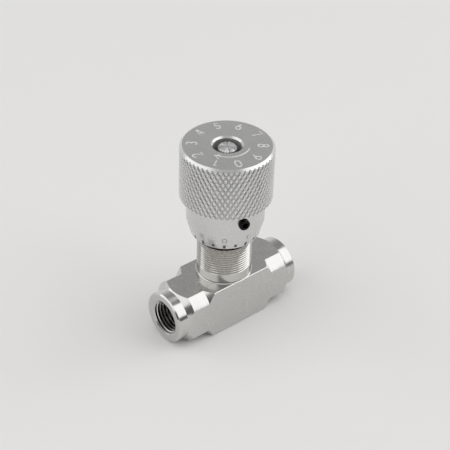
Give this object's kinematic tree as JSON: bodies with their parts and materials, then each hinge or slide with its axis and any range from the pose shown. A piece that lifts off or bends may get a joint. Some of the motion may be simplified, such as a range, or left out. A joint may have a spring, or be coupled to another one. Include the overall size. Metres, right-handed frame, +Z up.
{
  "type": "throttle valve",
  "caption": "Inline throttle valve: square bar body with a female threaded port at each end, a threaded neck and a knurled knob with a numbered scale that lifts the needle.",
  "frame": {"origin": "middle of the body's flat underside, straight under the spindle", "axes": "+Z up along the spindle towards the knob, X along the flow, with the port over the seat at +X"},
  "size_m": [0.0554, 0.0332, 0.0732],
  "materials": {
    "valve_steel": "satin, milled flats and turned ends",
    "neck_steel": "turned, with a fine outside thread",
    "needle_steel": "ground",
    "spindle_steel": "bright turned",
    "hardened_steel": "ground",
    "screw_steel": "black oxide",
    "knob_aluminium": "satin, diamond knurl",
    "nut_bronze": "machined bronze",
    "pad_brass": "machined brass",
    "seal_rubber": "moulded, black",
    "seal_plastic": "white, low friction"
  },
  "bodies": {
    "valve": {"valve_body": "valve_steel", "bonnet": "neck_steel", "bonnet_o_ring": "seal_rubber", "spindle_nut": "nut_bronze", "nut_lock_pin": "hardened_steel"},
    "needle": {"needle": "needle_steel", "needle_o_ring": "seal_rubber", "lower_backup_ring": "seal_plastic", "upper_backup_ring": "seal_plastic", "guide_ring": "seal_plastic", "thrust_ball": "hardened_steel", "coupling_pins": "hardened_steel"},
    "knob": {"spindle": "spindle_steel", "knob": "knob_aluminium", "set_screw": "screw_steel", "set_screw_pad": "pad_brass"}
  },
  "joints": [
    {"name": "needle_lift", "type": "slide", "parent": "valve", "child": "needle", "axis": [0, 0, 1], "range_m": [0, 0.005]},
    {"name": "knob_turn", "type": "hinge", "parent": "needle", "child": "knob", "pos_m": [0, 0, 0.05], "axis": [0, 0, 1], "range_deg": [0, 1800]}
  ],
  "couplings": [
    {"joint": "knob_turn", "follows": "needle_lift", "rad_per_m": 6283.2}
  ]
}
